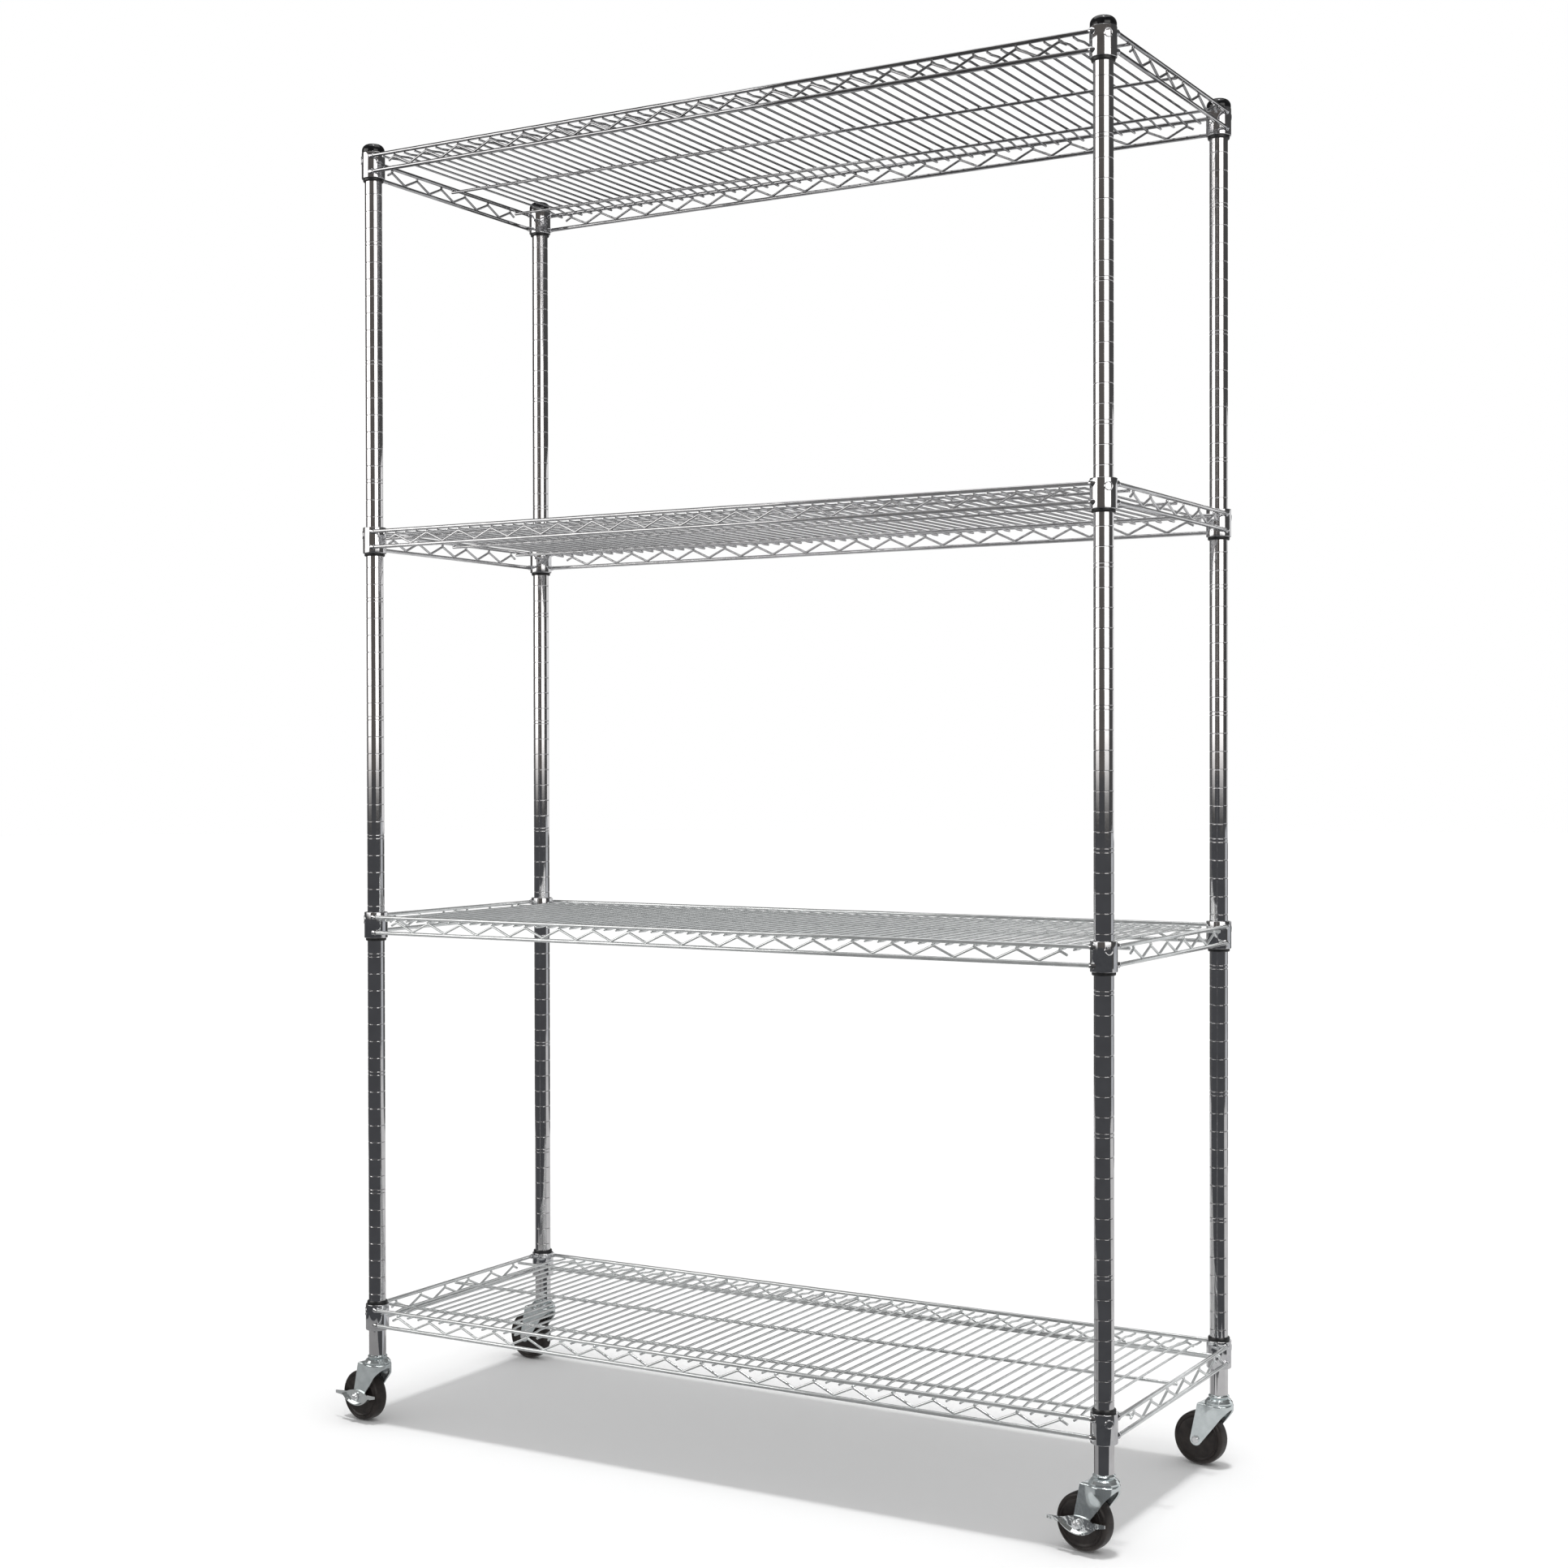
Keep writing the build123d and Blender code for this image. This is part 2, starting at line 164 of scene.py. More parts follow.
def turn(angle, axis="Z"):
    return Matrix.Rotation(radians(angle), 4, axis)


def clamp(value):
    return min(1.0, max(0.0, value))


# ---------------------------------------------------------------- materials

# Dark colour, light colour, metallic, least and most roughness, scale of the mottling,
# strength of the relief, scale of the relief, and specular level where it isn't 0.5.
FINISHES = {
    "chrome_tube": ((0.74, 0.73, 0.74), (0.82, 0.81, 0.82), 1.0, (0.03, 0.07), 40, 0.001, 300),
    # The three chrome_wire finishes are one chrome wire with painted light and shade: a darker copy carries
    # painted shade for the top shelf, and lighter, less metallic copies carry painted light for the lower
    # shelves.
    "chrome_wire_painted_shade": ((0.46, 0.46, 0.47), (0.60, 0.60, 0.61), 1.0, (0.04, 0.10), 60, 0.03, 500),
    "chrome_wire_painted_half_light": ((0.66, 0.66, 0.67), (0.80, 0.80, 0.81), 0.84, (0.08, 0.18), 60, 0.03, 500),
    "chrome_wire_painted_light": ((0.75, 0.77, 0.77), (0.88, 0.90, 0.90), 0.72, (0.08, 0.20), 60, 0.03, 500),
    "chrome_collar": ((0.68, 0.68, 0.70), (0.80, 0.80, 0.81), 1.0, (0.03, 0.09), 90, 0.05, 300),
    "zinc_plate": ((0.76, 0.82, 0.83), (0.89, 0.95, 0.96), 0.90, (0.10, 0.20), 60, 0.05, 250),
    "pressed_zinc": ((0.84, 0.88, 0.88), (0.94, 0.97, 0.97), 0.95, (0.06, 0.12), 60, 4.0, 95),
    "fastener": ((0.74, 0.75, 0.76), (0.86, 0.87, 0.88), 0.65, (0.12, 0.22), 80, 0.02, 300),
    "cap_plastic": ((0.004, 0.004, 0.005), (0.009, 0.009, 0.010), 0.0, (0.08, 0.16), 120, 0.04, 400),
    "sleeve_plastic": ((0.010, 0.010, 0.011), (0.020, 0.020, 0.021), 0.0, (0.30, 0.45), 150, 0.12, 900),
    "wheel_rubber": ((0.015, 0.011, 0.010), (0.032, 0.025, 0.022), 0.0, (0.30, 0.50), 90, 0.2, 600, 0.4),
    "bushing_nylon": ((0.42, 0.40, 0.35), (0.55, 0.53, 0.47), 0.0, (0.35, 0.5), 90, 0.1, 700),
    "plain_steel": ((0.40, 0.40, 0.42), (0.52, 0.52, 0.54), 1.0, (0.2, 0.35), 90, 0.1, 700),
}
RELIEF_DEPTH = 0.2 * MM
MOTTLE_DETAIL, GRAIN_DETAIL = 4.0, 2.0
MOTTLE_RANGE, GLOSS_RANGE = (0.35, 0.65), (0.3, 0.7)  # the parts of the noise that are used


def new_material(name):
    material = bpy.data.materials.new(name)
    material.use_nodes = True
    return material, material.node_tree.nodes["Principled BSDF"]


def surface(name, dark, light, metallic, rough, mottle, relief, grain, specular=0.5):
    """A material with mottled colour, uneven gloss and fine relief."""
    material, bsdf = new_material(name)
    nodes, links = material.node_tree.nodes, material.node_tree.links
    where = nodes.new("ShaderNodeTexCoord").outputs["Object"]

    def noise(scale, detail):
        texture = nodes.new("ShaderNodeTexNoise")
        texture.inputs["Scale"].default_value = scale
        texture.inputs["Detail"].default_value = detail
        links.new(where, texture.inputs["Vector"])
        return texture.outputs["Fac"]

    broad, fine = noise(mottle, MOTTLE_DETAIL), noise(grain, GRAIN_DETAIL)
    colour = nodes.new("ShaderNodeValToRGB")
    for element, position, tone in zip(colour.color_ramp.elements, MOTTLE_RANGE, (dark, light)):
        element.position, element.color = position, (*tone, 1)
    links.new(broad, colour.inputs["Fac"])
    links.new(colour.outputs["Color"], bsdf.inputs["Base Color"])
    gloss = nodes.new("ShaderNodeMapRange")
    gloss.inputs["From Min"].default_value, gloss.inputs["From Max"].default_value = GLOSS_RANGE
    gloss.inputs["To Min"].default_value, gloss.inputs["To Max"].default_value = rough
    links.new(fine, gloss.inputs["Value"])
    links.new(gloss.outputs["Result"], bsdf.inputs["Roughness"])
    bump = nodes.new("ShaderNodeBump")
    bump.inputs["Strength"].default_value = relief
    bump.inputs["Distance"].default_value = RELIEF_DEPTH
    links.new(fine, bump.inputs["Height"])
    links.new(bump.outputs["Normal"], bsdf.inputs["Normal"])
    bsdf.inputs["Metallic"].default_value = metallic
    bsdf.inputs["Specular IOR Level"].default_value = specular
    return material


finish = {name: surface(name, *values) for name, values in FINISHES.items()}

# ---------------------------------------------------------------- posts and caps

POST_R, POST_BORE, POST_FOOT, POST_HEAD = 12.7, 11.5, 103.0, 1911.9
GROOVE_Z, GROOVE_STEP, GROOVES, GROOVE_DEPTH = 144.7, 25.4, 70, 0.5
DOUBLE_FROM, DOUBLE_EVERY, DOUBLE_GAP = 8, 7, 5.0
POST_SHARP = 14  # keeps the grooves' edges crisp
CAP_R, CAP_SHOULDER, CAP_RIM, CAP_TOP = 16.9, 9.5, 1909.6, 1922.5


def post_outline():
    """A tube with a groove every inch, some of them doubled."""
    heights = []
    for i in range(GROOVES):
        heights.append(GROOVE_Z + i * GROOVE_STEP)
        if i >= DOUBLE_FROM and (i - DOUBLE_FROM) % DOUBLE_EVERY == 0:
            heights.append(heights[-1] + DOUBLE_GAP)
    r, floor = POST_R, POST_R - GROOVE_DEPTH
    out = [(POST_BORE, POST_FOOT), (r - 0.3, POST_FOOT), (r, POST_FOOT + 0.4)]
    for z in heights:
        out += [(r, z - 0.9), (r - 0.04, z - 0.75), (floor, z - 0.1)]
        out += [(floor, z + 0.2), (r - 0.04, z + 0.7), (r, z + 0.85)]
    return out + [(r, POST_HEAD - 0.3), (r - 0.3, POST_HEAD), (POST_BORE, POST_HEAD)]


def cap_outline():
    """A plug in the tube, a rim round it and a dome on top."""
    out = [(0.01, 1898.0), (11.35, 1898.0), (11.35, 1912.0), (12.8, 1912.0), (12.8, CAP_RIM)]
    out += [(CAP_R - 0.4, CAP_RIM), (CAP_R, CAP_RIM + 0.4)]
    for i in range(11):
        a = radians(i * 9)
        out.append((CAP_R - CAP_SHOULDER * (1 - cos(a)), CAP_TOP - CAP_SHOULDER * (1 - sin(a))))
    return out + [(0.01, CAP_TOP)]


for corner, (sx, sy, _) in CORNERS.items():
    spot = shift(sx * POST_X, sy * POST_Y)
    geo = Geo()
    geo.lathe(post_outline(), spot, sides=72, close=True)
    geo.make(f"tube_{corner}", finish["chrome_tube"], "rack", f"post_{corner}", "post", POST_SHARP)
    geo = Geo()
    geo.lathe(cap_outline(), spot, sides=72)
    geo.make(f"dome_{corner}", finish["cap_plastic"], "rack", f"post_cap_{corner}", "cap")

# ---------------------------------------------------------------- shelves

SIDE_WIRE_R, ZIGZAG_R, STRINGER_R, DECK_WIRE_R = 2.8, 1.75, 2.2, 1.6
ZIGZAG_HIGH, ZIGZAG_LOW, ZIGZAG_BEND = TOP_WIRE - 6.5, BOTTOM_WIRE + 3.1, 6.0
ZIGZAG_TAIL = (10.5, 5.5)  # how far its end runs out and down past the last bay
LONG_SIDE, SHORT_SIDE = (18, 578.5), (5, 201.0)  # bays, half the length
STRINGER_Y, STRINGER_Z = (-166.0, 0.0, 166.0), TOP_WIRE - 5.0
DECK_WIRES, DECK_STEP = range(-28, 29), BAY / 3
DECK_Z, DECK_END_Z, DECK_BEND = STRINGER_Z + 3.5, TOP_WIRE - 4.4, 12.0
# A deck wire's end is level over the first length from its tip, and has risen at the second.
DECK_TIP, DECK_LEVEL, DECK_RISEN = FRAME_Y + SIDE_WIRE_R, 16.0, 36.0
# Weld beads: half their size along, across and up, and their heights over the collar's lower edge.
HIGH_BEAD, LOW_BEAD, DECK_BEAD, END_BEAD = (2.1, 2.0, 2.0), (3.4, 1.7, 1.4), (2.3, 2.7, 1.7), (6.6, 3.7, 3.9)
HIGH_BEAD_Z, LOW_BEAD_Z, DECK_BEAD_Z = TOP_WIRE - 4.3, BOTTOM_WIRE + 2.2, STRINGER_Z + 1.6
END_BEAD_BACK, END_BEAD_OUT = 9.5, 14.8  # a side wire's end, from its post's axis
BADGE_Z = 27.5
SLEEVE_BORE, LIP_R = 12.78, 15.2
SLEEVE_STARTS, SLEEVE_SWEEP = (2.0, 182.0), 176.0
# Painted light and shade by shelf height: the same chrome wire gets a darker colour on the top shelf and a
# lighter colour on the low shelves.
WIRE_PAINTED_LIGHT_BY_SHELF = {
    "bottom": "chrome_wire_painted_light",
    "lower": "chrome_wire_painted_light",
    "upper": "chrome_wire_painted_half_light",
    "top": "chrome_wire_painted_shade",
}


def collar_outline():
    """A ring with rounded edges."""
    r, h = COLLAR_R, COLLAR_H
    out = [(15.0, 0.0), (r - 1.0, 0.0), (r - 0.4, 0.15), (r - 0.1, 0.5), (r, 1.0), (r, h / 2)]
    return out + [(r, h - 1.0), (r - 0.1, h - 0.5), (r - 0.4, h - 0.15), (r - 1.0, h), (14.0, h)]


def sleeve_outline(lip_on_top):
    """A tapered half sleeve with a lip, over the collar's top on the bottom shelf, under it elsewhere."""
    h = COLLAR_H
    if lip_on_top:
        out = [(SLEEVE_BORE, 0.2), (14.85, 0.2), (13.9, h + 0.2), (LIP_R, h + 0.3), (LIP_R, h + 3.6)]
        return out + [(14.7, h + 4.5), (14.2, h + 4.7), (SLEEVE_BORE, h + 4.7)]
    out = [(SLEEVE_BORE, h - 2), (13.9, h - 2), (14.9, -0.2), (LIP_R, -0.3), (LIP_R, -3.2)]
    return out + [(14.7, -4.0), (14.2, -4.2), (SLEEVE_BORE, -4.2)]


def badge(geo, place):
    """A blank raised ring that follows the collar's curve. Z points outward."""
    ring = Geo()
    outline = [(4.2, -2.0), (4.3, 0.2), (4.6, 0.7), (5.0, 0.9)]
    outline += [(5.4, 0.9), (5.8, 0.6), (6.1, -0.1), (6.1, -2.0)]
    ring.lathe(outline, sides=44, close=True)
    bent = [(x, y, z - COLLAR_R + sqrt(COLLAR_R**2 - y * y)) for x, y, z in ring.points]
    geo.add(bent, ring.faces, place)


def bead(geo, place, size, seed):
    """A lumpy weld bead."""
    outline = [(0.01, -1.0)]
    for i in range(1, 8):
        a = -pi / 2 + pi * i / 8
        outline.append((cos(a), sin(a)))
    outline.append((0.01, 1.0))
    ball = Geo()
    ball.lathe(outline, sides=14)
    lumpy = []
    for x, y, z in ball.points:
        k = 1 + 0.10 * sin(5.1 * x + seed) * cos(4.3 * z + 2 * seed) + 0.07 * sin(7.7 * y + 3 * seed)
        lumpy.append((x * size[0] * k, y * size[1] * k, z * size[2] * k))
    geo.add(lumpy, ball.faces, place)


def truss(geo, bays, reach, place):
    """Two straight wires with a bent wire between them, along X."""
    start = -bays * BAY / 2
    out, down = ZIGZAG_TAIL
    route = [(start - out, 0, ZIGZAG_HIGH - down), (start, 0, ZIGZAG_HIGH)]
    for i in range(bays):
        route.append((start + (i + 0.5) * BAY, 0, ZIGZAG_LOW))
        route.append((start + (i + 1) * BAY, 0, ZIGZAG_HIGH))
    route.append((-start + out, 0, ZIGZAG_HIGH - down))
    geo.tube(rounded(route, ZIGZAG_BEND, 6), ZIGZAG_R, 14, place)
    for z in (TOP_WIRE, BOTTOM_WIRE):
        geo.tube([(-reach, 0, z), (reach, 0, z)], SIDE_WIRE_R, 20, place)
    for i in range(bays + 1):
        bead(geo, place @ shift(start + i * BAY, 0, HIGH_BEAD_Z), HIGH_BEAD, i)
    for i in range(bays):
        bead(geo, place @ shift(start + (i + 0.5) * BAY, 0, LOW_BEAD_Z), LOW_BEAD, i + 0.5)


def deck(geo, place):
    """Wires from front to back with their ends bent down, on the stringers they are welded to."""
    route = [(0, -DECK_TIP, DECK_END_Z), (0, -DECK_TIP + DECK_LEVEL, DECK_END_Z)]
    route.append((0, -DECK_TIP + DECK_RISEN, DECK_Z))
    route += [(x, -y, z) for x, y, z in reversed(route)]
    path = rounded(route, DECK_BEND, 5)
    for i in DECK_WIRES:
        geo.tube(path, DECK_WIRE_R, 12, place @ shift(i * DECK_STEP))
    end = FRAME_X + SIDE_WIRE_R
    for y in STRINGER_Y:
        geo.tube([(-end, y, STRINGER_Z), (end, y, STRINGER_Z)], STRINGER_R, 14, place)
        for i in DECK_WIRES:
            bead(geo, place @ shift(i * DECK_STEP, y, DECK_BEAD_Z), DECK_BEAD, i + 0.01 * y)


for shelf, z in SHELVES.items():
    level = shift(z=z)
    wire = finish[WIRE_PAINTED_LIGHT_BY_SHELF[shelf]]
    geo = Geo()
    truss(geo, *LONG_SIDE, level @ shift(y=-FRAME_Y))
    truss(geo, *LONG_SIDE, level @ shift(y=FRAME_Y) @ turn(180))
    truss(geo, *SHORT_SIDE, level @ shift(x=-FRAME_X) @ turn(-90))
    truss(geo, *SHORT_SIDE, level @ shift(x=FRAME_X) @ turn(90))
    sides = geo.make(f"wires_{shelf}", wire, "rack", f"shelf_{shelf}_frame", "wire")
    # The photograph's shadow ends at the flag below, so the lowest sides cast none.
    sides.visible_shadow = shelf != "bottom"

    geo = Geo()
    deck(geo, level)
    geo.make(f"mesh_{shelf}", wire, "rack", f"shelf_{shelf}_deck", "wire")

    rings, halves = Geo(), Geo()
    for n, (sx, sy, _) in enumerate(CORNERS.values()):
        spot = level @ shift(sx * POST_X, sy * POST_Y)
        rings.lathe(collar_outline(), spot, sides=80, close=True)
        outward = degrees(atan2(sy, sx))
        badge(rings, spot @ turn(outward) @ shift(x=COLLAR_R, z=BADGE_Z) @ turn(90, "Y"))
        for wz in (TOP_WIRE, BOTTOM_WIRE):
            # A long side's wire ends in front of or behind the post, a short side's wire beside it.
            long_end = shift(-sx * END_BEAD_BACK, sy * END_BEAD_OUT, wz)
            short_end = shift(sx * END_BEAD_OUT, -sy * END_BEAD_BACK, wz) @ turn(90)
            for end in (long_end, short_end):
                bead(rings, spot @ end, END_BEAD, n + wz)
        for start in SLEEVE_STARTS:
            outline = sleeve_outline(shelf == "bottom")
            halves.lathe(outline, spot, sides=72, start=start, sweep=SLEEVE_SWEEP, close=True)
    rings.make(f"collars_{shelf}", finish["chrome_collar"], "rack", f"shelf_{shelf}_collars", "collar")
    halves.make(f"wedges_{shelf}", finish["sleeve_plastic"], "rack", f"shelf_{shelf}_sleeves", "sleeve")

# ---------------------------------------------------------------- casters

CAD_FINISH = {
    "zinc": "zinc_plate",
    "axle": "fastener",
    "wheel": "wheel_rubber",
    "bushing": "bushing_nylon",
    "ball": "plain_steel",
    "insert": "plain_steel",
}
SHEET, CROWN_R, CROWN_Z, SKIRT_Z = 2.5, 20.5, 90.0, 84.0
STEM_R, CROWN_EDGE = 5.1, 2.2
LEG_FLAT, TRAIL_X = 16.5, 26.0  # half the fork's width at the legs, and its trailing edge
AXLE_X, AXLE_Z, FOOT_R = 28.0, 37.5, 8.6
# Where the leg's straight edges meet the round foot.
FOOT_BACK_X, FOOT_BACK_Z = 36.53, AXLE_Z + 1.1
FOOT_FRONT_X, FOOT_FRONT_Z = 21.27, 32.15
# The side is round in front of this x, and swells out to the round crown between these heights.
ROUND_X, SWELL_LOW, SWELL_HIGH = -12.0, 60.0, 84.0
# The swelling ends this far back. It starts and ends over the blend's length.
SWELL_X, BLEND = 18.0, 4.0
EVEN_X = 12.0  # the sheet's points stand at even distances behind this x
CASTER_SHARP = 50

for part in frame["record"]["subparts"]:
    lever = part["node"].startswith("brake_lever")
    look = "pressed_zinc" if lever else CAD_FINISH.get(part["material_slot"])
    if look:
        mesh = frame["nodes"][part["node"]].data
        mesh.materials.clear()
        mesh.materials.append(finish[look])


def wheel_outline():
    """Hub, recessed web, ring groove near the rim and a crowned tread."""
    half = [(6.05, 12.0), (10.4, 12.0), (11.4, 11.6), (12.8, 10.2), (14.0, 10.0), (26.8, 10.0)]
    half += [(27.9, 10.3), (28.8, 11.3), (29.6, 11.6), (30.3, 11.5), (30.7, 10.8), (31.1, 10.5)]
    half += [(31.7, 10.5), (32.1, 10.9), (32.5, 11.4)]
    for i in range(9):
        a = radians(90 - i * 10)
        half.append((33.0 + 4.3 * cos(a), 6.2 + 5.4 * sin(a)))
    half += [(37.45, 3.0), (37.5, 0.0)]
    return half + [(r, -y) for r, y in reversed(half[:-1])]


def side_of_fork(x, z, inset=0.0):
    """How far the fork's side stands from its middle: flat at the leg, round below the stem."""
    flat_side = LEG_FLAT - inset
    circle = sqrt(max(0.0, (CROWN_R - inset) ** 2 - x * x))
    if x < ROUND_X:
        return circle
    swell = circle - flat_side
    soft = 0.5 * (swell + sqrt(swell * swell + 2.0))
    if swell > 0:
        soft = swell + (soft - swell) * min(1.0, (x - ROUND_X) / BLEND)
    up = clamp((z - SWELL_LOW) / (SWELL_HIGH - SWELL_LOW))
    return flat_side + soft * clamp((SWELL_X - x) / BLEND) * up * up * (3 - 2 * up)


def fork_span(z):
    """Where the leg's front edge and back edge lie at one height."""
    foot = sqrt(max(0.0, FOOT_R**2 - (z - AXLE_Z) ** 2))
    if z < FOOT_BACK_Z:
        back = AXLE_X + foot
    else:
        rise = (z - FOOT_BACK_Z) / (CROWN_Z - CROWN_EDGE - FOOT_BACK_Z)
        back = FOOT_BACK_X + (TRAIL_X - FOOT_BACK_X) * rise
    if z < FOOT_FRONT_Z:
        return AXLE_X - foot, back
    fall = max(0.0, (SKIRT_Z - z) / (SKIRT_Z - FOOT_FRONT_Z))
    return -CROWN_R + (FOOT_FRONT_X + CROWN_R) * fall, back


def fork_columns():
    """The x of the sheet's columns of points, round the front and then evenly to the back."""
    around = [-CROWN_R * cos(radians(a)) for a in range(0, 126, 5)]
    return around + [EVEN_X + i * (TRAIL_X - EVEN_X) / 7 for i in range(8)]


def fork_leg(geo, side, place):
    """One leg with its half of the skirt, as a closed bent sheet."""
    columns = fork_columns()
    # Rows under the rolled edge, then evenly down to the axle, then round the foot.
    heights = [CROWN_Z - CROWN_EDGE, 86.0, SKIRT_Z + 0.01]
    heights += [SKIRT_Z - (SKIRT_Z - AXLE_Z) * i / 24 for i in range(25)]
    heights += [AXLE_Z - (FOOT_R - 0.02) * sin(radians(i * 9)) for i in range(1, 11)]
    points = []
    for inset in (0.0, SHEET):
        for z in heights:
            front, back = fork_span(z)
            for c in columns:
                x = front + (c + CROWN_R) / (TRAIL_X + CROWN_R) * (back - front)
                if x < 0:
                    x *= (CROWN_R - inset) / CROWN_R
                points.append((x, side * side_of_fork(x, z, inset), z))
    n, m = len(columns), len(heights)
    inner = n * m  # the inner sheet's points follow the outer sheet's
    faces = []
    for i in range(m - 1):
        for j in range(n - 1):
            a, b, c, d = i * n + j, i * n + j + 1, (i + 1) * n + j + 1, (i + 1) * n + j
            faces += [(a, b, c, d), (a + inner, d + inner, c + inner, b + inner)]
    border = list(range(n)) + [i * n + n - 1 for i in range(1, m)]
    border += [(m - 1) * n + j for j in range(n - 2, -1, -1)] + [i * n for i in range(m - 2, 0, -1)]
    for a, b in zip(border, border[1:] + border[:1]):
        faces.append((b, a, a + inner, b + inner))
    if side < 0:
        faces = [tuple(reversed(f)) for f in faces]
    geo.add(points, faces, place)


def fork_crown(geo, place):
    """The crown plate round the stem, with a rolled edge."""
    near = [(x, side_of_fork(x, CROWN_Z)) for x in reversed(fork_columns())]
    edge = near + [(x, -y) for x, y in reversed(near[:-1])]
    edge += [(TRAIL_X, y) for y in (-11.0, -5.5, 0.0, 5.5, 11.0)]  # between the legs
    roll = [radians(90 - i * 15) for i in range(7)]
    points = []
    for x, y in edge:
        far = sqrt(x * x + y * y)
        column = [(STEM_R, CROWN_Z - SHEET), (STEM_R, CROWN_Z)]
        column += [(far - CROWN_EDGE * (1 - cos(a)), CROWN_Z - CROWN_EDGE * (1 - sin(a))) for a in roll]
        column.append((far - 0.4, CROWN_Z - SHEET))
        points += [(reach * x / far, reach * y / far, z) for reach, z in column]
    rings = len(roll) + 3
    faces = []
    for i in range(len(edge)):
        a, b = i * rings, (i + 1) % len(edge) * rings
        for j in range(rings):
            k = (j + 1) % rings
            faces.append((a + j, a + k, b + k, b + j))
    geo.add(points, faces, place)


for corner, (sx, sy, heading) in CORNERS.items():
    caster = shift(sx * POST_X, sy * POST_Y) @ turn(180 - heading)
    axle = caster @ shift(AXLE_X, 0, AXLE_Z) @ turn(90, "X")
    geo = Geo()
    geo.lathe(wheel_outline(), axle, sides=96, close=True)
    wheel = f"wheel_{corner}"  # the body's name, and the name of the CAD node
    geo.make(f"tread_{corner}", finish["wheel_rubber"], wheel, wheel, "wheel", CASTER_SHARP)
    geo = Geo()
    for side in (1, -1):
        fork_leg(geo, side, caster)
    fork_crown(geo, caster)
    swivel, fork = f"swivel_{corner}", f"fork_{corner}"
    geo.make(f"yoke_{corner}", finish["zinc_plate"], swivel, fork, "zinc", CASTER_SHARP)

# ---------------------------------------------------------------- studio (metres)

FLOOR_HALF, FLOOR_WHITE, FLOOR_ROUGH = 40.0, (0.95, 0.95, 0.95), 0.9
ROOM, ROOM_FLOOR, ROOM_TOP = (-4.4, 4.4), -2.3, 4.2  # the closed room that the chrome reflects
WALL_R, SWEEP_R, BOX_R = 4.3, 4.25, 4.1
SWEEP_TOP, WALL_SPLIT = 2.05, 0.95
DARK = 0.07
WHITE, WARM, COOL = (1, 1, 1), (1.0, 0.985, 0.965), (0.96, 0.99, 1.03)
BOX_LOW, BOX_FULL, BOX_HIGH, BOX_LEVEL = 0.78, 1.30, 3.4, 2.2
# Flat cards: x from and to, y from and to, height, level.
FLAT_CARDS = {
    "floor_dark": (ROOM, ROOM, ROOM_FLOOR, 0.05),
    "floor_near_left": ((-1.2, -0.2), (-0.80, 0.32), -0.002, 0.30),
    "floor_near_right": ((0.35, 1.3), (-0.30, 0.32), -0.002, 0.55),
    "floor_light": ((-3.0, 4.0), (0.30, 2.6), -0.003, 0.60),
    "ceiling_dark": (ROOM, ROOM, ROOM_TOP, 0.12),
    "ceiling_box": ((-1.5, 1.5), (-1.1, 1.1), 4.1, 1.4),
}
# Curved cards: angle from and to, height from and to, radius, level, and tint where it isn't white.
ARC_CARDS = {
    "wall_front_low": ((-180, 0), (ROOM_FLOOR, WALL_SPLIT), WALL_R, DARK, (0.96, 0.99, 1.06)),
    "wall_front_high": ((-180, 0), (WALL_SPLIT, ROOM_TOP), WALL_R, 0.11, (1.0, 0.92, 0.86)),
    "wall_right": ((0, 45), (ROOM_FLOOR, ROOM_TOP), WALL_R, DARK),
    "wall_back_right": ((45, 110), (ROOM_FLOOR, ROOM_TOP), WALL_R, DARK),
    "sweep_back_right": ((45, 110), (0.75, SWEEP_TOP), SWEEP_R, 0.80),
    "wall_back_left": ((110, 180), (ROOM_FLOOR, ROOM_TOP), WALL_R, 0.10),
    "sweep_back_left": ((110, 180), (0.3, SWEEP_TOP), SWEEP_R, 0.13),
    "softbox_left": ((-161, -113), (BOX_LOW, BOX_HIGH), BOX_R, BOX_LEVEL, WARM, (BOX_LOW, BOX_FULL)),
    "sweep_low_right": ((17, 62), (ROOM_FLOOR, 0.80), BOX_R, 0.50, COOL),
    "sweep_low_left": ((-200, -128), (ROOM_FLOOR, -0.72), BOX_R, 0.32),
    "softbox_right": ((-52, -8), (BOX_LOW, BOX_HIGH), BOX_R, BOX_LEVEL, WARM, (BOX_LOW, BOX_FULL)),
}
ARC_STEP = 5
FLAG_X, FLAG_Y, FLAG_Z = (-0.63, 0.58), (-0.22, 0.22), 0.16
WORLD_LEVEL, SUN_LEVEL, SUN_ANGLE, SUN_TILT = 0.66, 1.46, 7, (2, 3)
BACKDROP_R, BACKDROP_Z = 30.0, (-10.0, 25.0)


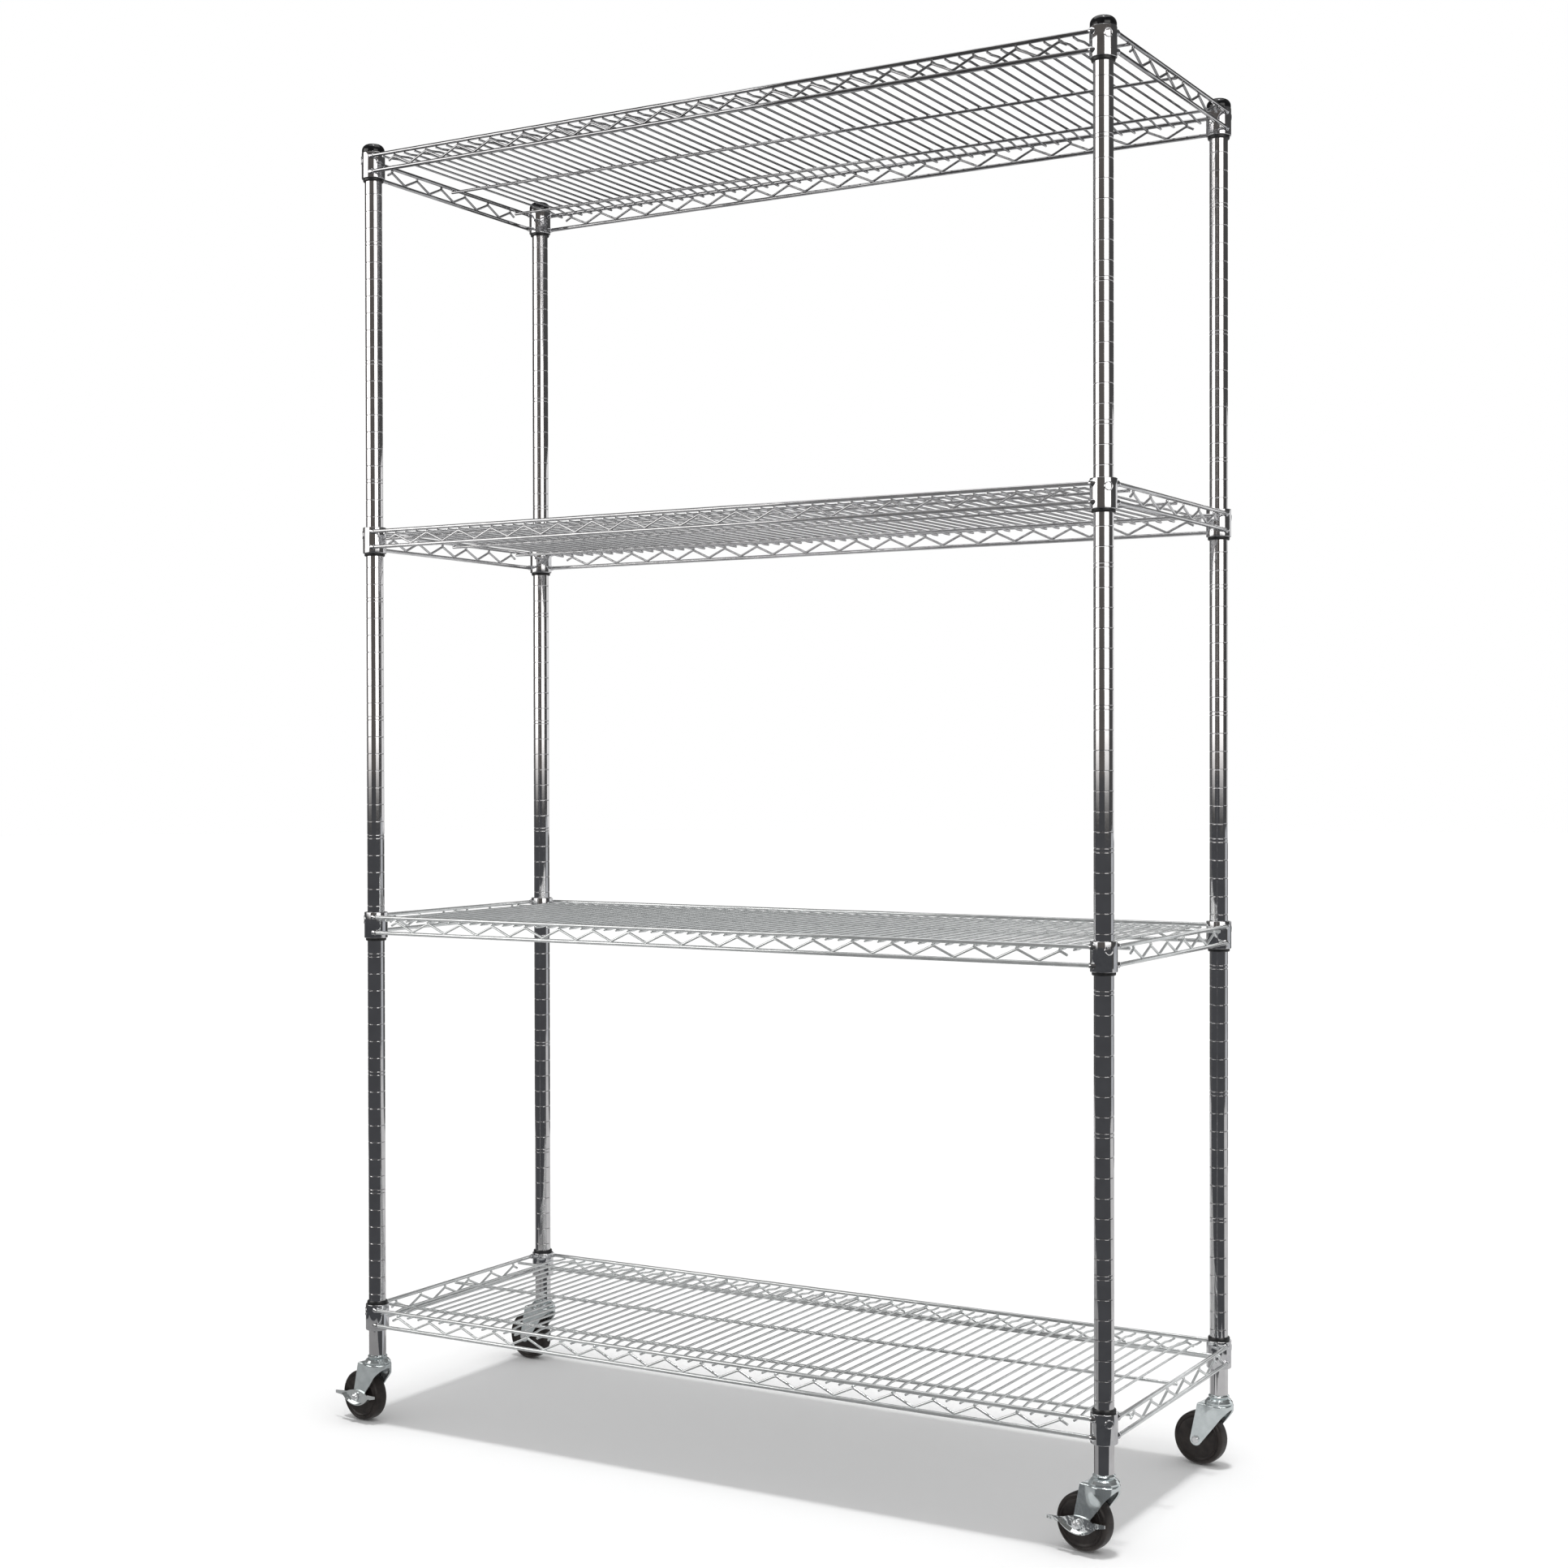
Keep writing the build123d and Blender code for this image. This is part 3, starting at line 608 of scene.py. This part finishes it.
def glow(name, level, tint=WHITE, fade=None):
    """Plain light. With fade, it grows from dark at the first height to full at the second."""
    material = bpy.data.materials.new(name)
    material.use_nodes = True
    nodes, links = material.node_tree.nodes, material.node_tree.links
    nodes.clear()
    light = nodes.new("ShaderNodeEmission")
    light.inputs["Color"].default_value = (*tint, 1)
    light.inputs["Strength"].default_value = level
    result = nodes.new("ShaderNodeOutputMaterial")
    links.new(light.outputs["Emission"], result.inputs["Surface"])
    if fade:
        where = nodes.new("ShaderNodeNewGeometry")
        split = nodes.new("ShaderNodeSeparateXYZ")
        links.new(where.outputs["Position"], split.inputs["Vector"])
        grow = nodes.new("ShaderNodeMapRange")
        grow.interpolation_type = "SMOOTHSTEP"
        grow.inputs["From Min"].default_value, grow.inputs["From Max"].default_value = fade
        grow.inputs["To Min"].default_value, grow.inputs["To Max"].default_value = DARK, level
        links.new(split.outputs["Z"], grow.inputs["Value"])
        links.new(grow.outputs["Result"], light.inputs["Strength"])
    return material


def stage_mesh(name, points, faces, material):
    mesh = bpy.data.meshes.new(name)
    mesh.from_pydata(points, [], faces)
    mesh.materials.append(material)
    obj = bpy.data.objects.new(name, mesh)
    bpy.context.scene.collection.objects.link(obj)
    return obj


def plate(name, x, y, z, material):
    points = [(x[0], y[0], z), (x[1], y[0], z), (x[1], y[1], z), (x[0], y[1], z)]
    return stage_mesh(name, points, [(0, 1, 2, 3)], material)


def only_reflected(obj):
    obj.visible_camera = obj.visible_diffuse = obj.visible_shadow = False
    obj.visible_transmission = obj.visible_volume_scatter = False


def flat_card(name, x, y, z, level):
    only_reflected(plate(name, x, y, z, glow(name, level)))


def arc_card(name, angles, heights, radius, level, tint=WHITE, fade=None):
    """A curved card round the rack."""
    start, end = angles
    steps = int((end - start) / ARC_STEP)
    points = []
    for i in range(steps + 1):
        a = radians(start + (end - start) * i / steps)
        points += [(radius * cos(a), radius * sin(a), z) for z in heights]
    faces = [(2 * i, 2 * i + 2, 2 * i + 3, 2 * i + 1) for i in range(steps)]
    card = stage_mesh(name, points, faces, glow(name, level, tint, fade))
    only_reflected(card)
    return card


# Reflections don't see the floor, and only reflections see the cards.
floor_paint, bsdf = new_material("floor_paint")
bsdf.inputs["Base Color"].default_value = (*FLOOR_WHITE, 1)
bsdf.inputs["Roughness"].default_value = FLOOR_ROUGH
bsdf.inputs["Specular IOR Level"].default_value = 0.0
floor = plate("floor", (-FLOOR_HALF, FLOOR_HALF), (-FLOOR_HALF, FLOOR_HALF), 0.0, floor_paint)
floor.visible_glossy = False
for name, card in FLAT_CARDS.items():
    flat_card(name, *card)
for name, card in ARC_CARDS.items():
    arc_card(name, *card)

world = bpy.data.worlds.new("studio")
world.use_nodes = True
world.node_tree.nodes["Background"].inputs["Color"].default_value = (1, 1, 1, 1)
world.node_tree.nodes["Background"].inputs["Strength"].default_value = WORLD_LEVEL
bpy.context.scene.world = world
bpy.context.scene.view_settings.view_transform = "Standard"

sun = bpy.data.lights.new("overhead", "SUN")
sun.energy = SUN_LEVEL
sun.angle = radians(SUN_ANGLE)
above = bpy.data.objects.new("overhead", sun)
above.rotation_euler = (radians(SUN_TILT[0]), radians(SUN_TILT[1]), 0)
bpy.context.scene.collection.objects.link(above)

# The photograph's shadow is one crisp shape under the rack. This plate only casts it.
flag = plate("flag", FLAG_X, FLAG_Y, FLAG_Z, floor_paint)
flag.visible_camera = flag.visible_glossy = flag.visible_diffuse = False

# Only the camera sees the backdrop.
backdrop = arc_card("backdrop", (0, 360), BACKDROP_Z, BACKDROP_R, 1.0)
backdrop.visible_camera, backdrop.visible_glossy = True, False

# ---------------------------------------------------------------- camera

LENS, SENSOR = 53.14, 36.0
EYE = (1.7014, -2.9089, 0.9946)
PITCH, ROLL, HEADING = -0.541, 0.11, 30.292  # degrees, from level and from straight ahead

lens = bpy.data.cameras.new("camera")
lens.sensor_width = SENSOR
lens.lens = LENS
eye = bpy.data.objects.new("camera", lens)
eye.location = EYE
eye.rotation_euler = (radians(90 + PITCH), radians(ROLL), radians(HEADING))
bpy.context.scene.collection.objects.link(eye)
bpy.context.scene.camera = eye
